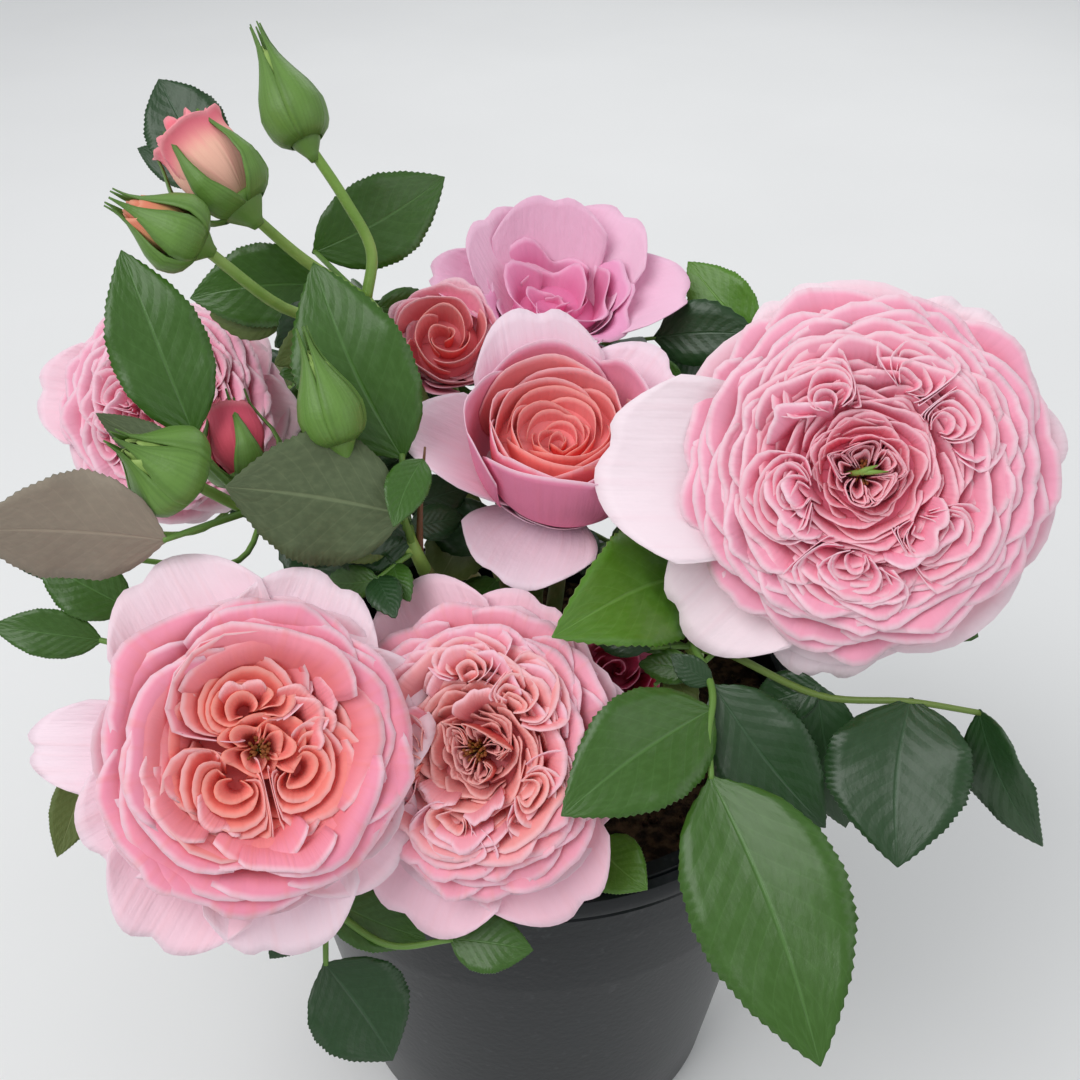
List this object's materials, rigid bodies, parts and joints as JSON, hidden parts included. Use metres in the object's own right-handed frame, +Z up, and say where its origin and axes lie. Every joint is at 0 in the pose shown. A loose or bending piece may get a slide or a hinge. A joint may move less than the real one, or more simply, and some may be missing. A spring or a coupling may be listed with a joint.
{
  "type": "potted rose bush",
  "caption": "Low bushy garden rose with full many-petalled pink blooms, green buds and compound leaves, growing in a round black nursery pot filled with soil.",
  "frame": {"origin": "centre of the pot's flat underside, on the ground", "axes": "+Z up along the pot's axis, -Y towards the show side with the largest blooms, +X to the right as seen from that side"},
  "size_m": [0.3613, 0.3036, 0.3768],
  "materials": {
    "pot": "matte with scuffs",
    "soil": "rough",
    "bark": "rough",
    "cane": "satin",
    "petal": "satin",
    "crimson_petal": "satin",
    "leaf": "satin"
  },
  "bodies": {
    "root": {"pot": "pot", "soil": "soil", "trunk": "bark", "cane_back": "cane", "cane_back_left": "cane", "cane_back_right": "cane", "cane_buds": "cane", "cane_centre": "cane", "cane_crimson": "cane", "cane_far_right": "cane", "cane_front_left": "cane", "cane_front_middle": "cane", "cane_left": "cane", "cane_low_right": "cane", "cane_middle_left": "cane", "cane_right": "cane", "cane_small": "cane", "bloom_back": "petal", "bloom_centre": "petal", "bloom_crimson": "crimson_petal", "bloom_front_left": "petal", "bloom_front_middle": "petal", "bloom_left": "petal", "bloom_right": "petal", "bloom_small": "petal", "shoot_back": "leaf", "shoot_back_left": "leaf", "shoot_back_right": "leaf", "shoot_buds": "leaf", "shoot_centre": "leaf", "shoot_crimson": "leaf", "shoot_far_right": "leaf", "shoot_front_left": "leaf", "shoot_front_middle": "leaf", "shoot_left": "leaf", "shoot_low_right": "leaf", "shoot_middle_left": "leaf", "shoot_right": "leaf", "shoot_small": "leaf"}
  },
  "joints": []
}
